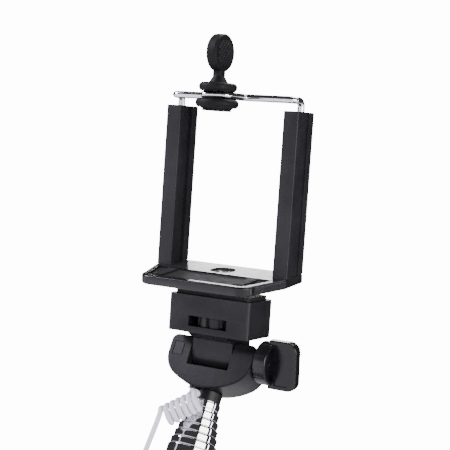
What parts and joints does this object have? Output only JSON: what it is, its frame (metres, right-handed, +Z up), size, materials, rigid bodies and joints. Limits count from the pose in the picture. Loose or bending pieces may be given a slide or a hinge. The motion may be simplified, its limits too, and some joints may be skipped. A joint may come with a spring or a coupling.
{
  "type": "selfie stick",
  "caption": "Telescopic selfie stick with a foam grip, shutter button, tilting spring phone clip and a curly audio lead.",
  "frame": {"origin": "centre of the hand grip, on the stick's axis", "axes": "+Z up the stick towards the phone clip, +X towards the tilt knob, -Y towards the front, the side of the shutter button"},
  "size_m": [0.0583, 0.0793, 0.272],
  "materials": {
    "black_satin": "satin",
    "black_gloss": "gloss",
    "black_rubber": "matte",
    "grip_foam": "matte foam",
    "chrome_plate": "polished",
    "bare_steel": "brushed",
    "brass": "machined",
    "white_cord": "satin",
    "white_plug": "gloss",
    "circuit_board": "satin",
    "button_grey": "satin"
  },
  "bodies": {
    "handle": {"handle_core": "black_satin", "handle_grip": "grip_foam", "end_cap": "black_satin", "button_housing": "black_satin", "switch_board": "circuit_board", "tube_7": "chrome_plate"},
    "button": {"shutter_button": "button_grey"},
    "section_6": {"tube_6": "chrome_plate", "bush_6": "brass"},
    "section_5": {"tube_5": "chrome_plate", "bush_5": "brass"},
    "section_4": {"tube_4": "chrome_plate", "bush_4": "brass"},
    "section_3": {"tube_3": "chrome_plate", "bush_3": "brass"},
    "section_2": {"tube_2": "chrome_plate", "bush_2": "brass"},
    "head": {"tube_1": "chrome_plate", "bush_1": "brass", "neck_spigot": "black_satin", "inner_lead": "white_cord", "housing_front": "black_satin", "housing_rear": "black_satin", "housing_screws": "bare_steel", "tilt_nut": "bare_steel", "cord_grommet": "black_satin", "cord_lead": "white_cord", "cord_coil": "white_cord", "cord_tail": "white_cord", "plug_body": "white_plug", "plug_contact": "chrome_plate"},
    "washer": {"wave_washer": "bare_steel"},
    "knob": {"tilt_knob": "black_gloss", "tilt_bolt": "bare_steel"},
    "block": {"block_lower": "black_satin", "block_upper": "black_satin", "block_screws": "bare_steel", "block_pad": "black_rubber"},
    "wheel": {"thumbwheel": "black_satin", "clip_screw": "bare_steel"},
    "clip": {"tray": "black_gloss", "tray_pad": "black_rubber", "tray_insert": "bare_steel", "post_left": "black_satin", "post_right": "black_satin", "post_screws": "bare_steel", "spring_left": "bare_steel", "spring_right": "bare_steel"},
    "jaw": {"wire_frame": "chrome_plate", "wire_feet": "bare_steel", "jaw_grip": "black_rubber", "jaw_pad": "black_rubber"}
  },
  "joints": [
    {"name": "extend_6", "type": "slide", "parent": "handle", "child": "section_6", "axis": [0, 0, 1], "range_m": [0, 0.098]},
    {"name": "extend_5", "type": "slide", "parent": "section_6", "child": "section_5", "axis": [0, 0, 1], "range_m": [0, 0.098]},
    {"name": "extend_4", "type": "slide", "parent": "section_5", "child": "section_4", "axis": [0, 0, 1], "range_m": [0, 0.098]},
    {"name": "extend_3", "type": "slide", "parent": "section_4", "child": "section_3", "axis": [0, 0, 1], "range_m": [0, 0.098]},
    {"name": "extend_2", "type": "slide", "parent": "section_3", "child": "section_2", "axis": [0, 0, 1], "range_m": [0, 0.098]},
    {"name": "extend_1", "type": "slide", "parent": "section_2", "child": "head", "axis": [0, 0, 1], "range_m": [0, 0.098]},
    {"name": "shutter_press", "type": "slide", "parent": "handle", "child": "button", "axis": [0, 1, 0], "range_m": [0, 0.0006], "stiffness_N_per_m": 1200, "springref_m": -0.0004},
    {"name": "tilt", "type": "hinge", "parent": "head", "child": "block", "pos_m": [0, 0, 0.11535], "axis": [1, 0, 0], "range_deg": [-115.8, 59.2]},
    {"name": "knob_travel", "type": "slide", "parent": "head", "child": "washer", "axis": [1, 0, 0], "range_m": [0, 0.0007]},
    {"name": "knob_turn", "type": "hinge", "parent": "washer", "child": "knob", "pos_m": [0.018, 0, 0.11535], "axis": [1, 0, 0], "range_deg": [0, 360]},
    {"name": "wheel_turn", "type": "hinge", "parent": "block", "child": "wheel", "pos_m": [0, -0.0076, 0.12556], "axis": [0, -0.4352, 0.9003], "range_deg": [-360, 0]},
    {"name": "clip_swivel", "type": "hinge", "parent": "block", "child": "clip", "pos_m": [0, -0.01261, 0.13591], "axis": [0, -0.4352, 0.9003], "continuous": true},
    {"name": "jaw_pull", "type": "slide", "parent": "clip", "child": "jaw", "axis": [0, -0.4352, 0.9003], "range_m": [0, 0.028], "stiffness_N_per_m": 150, "springref_m": -0.01, "deforming": ["spring_left", "spring_right"]}
  ],
  "couplings": [
    {"joint": "knob_turn", "follows": "knob_travel", "rad_per_m": 8976}
  ]
}
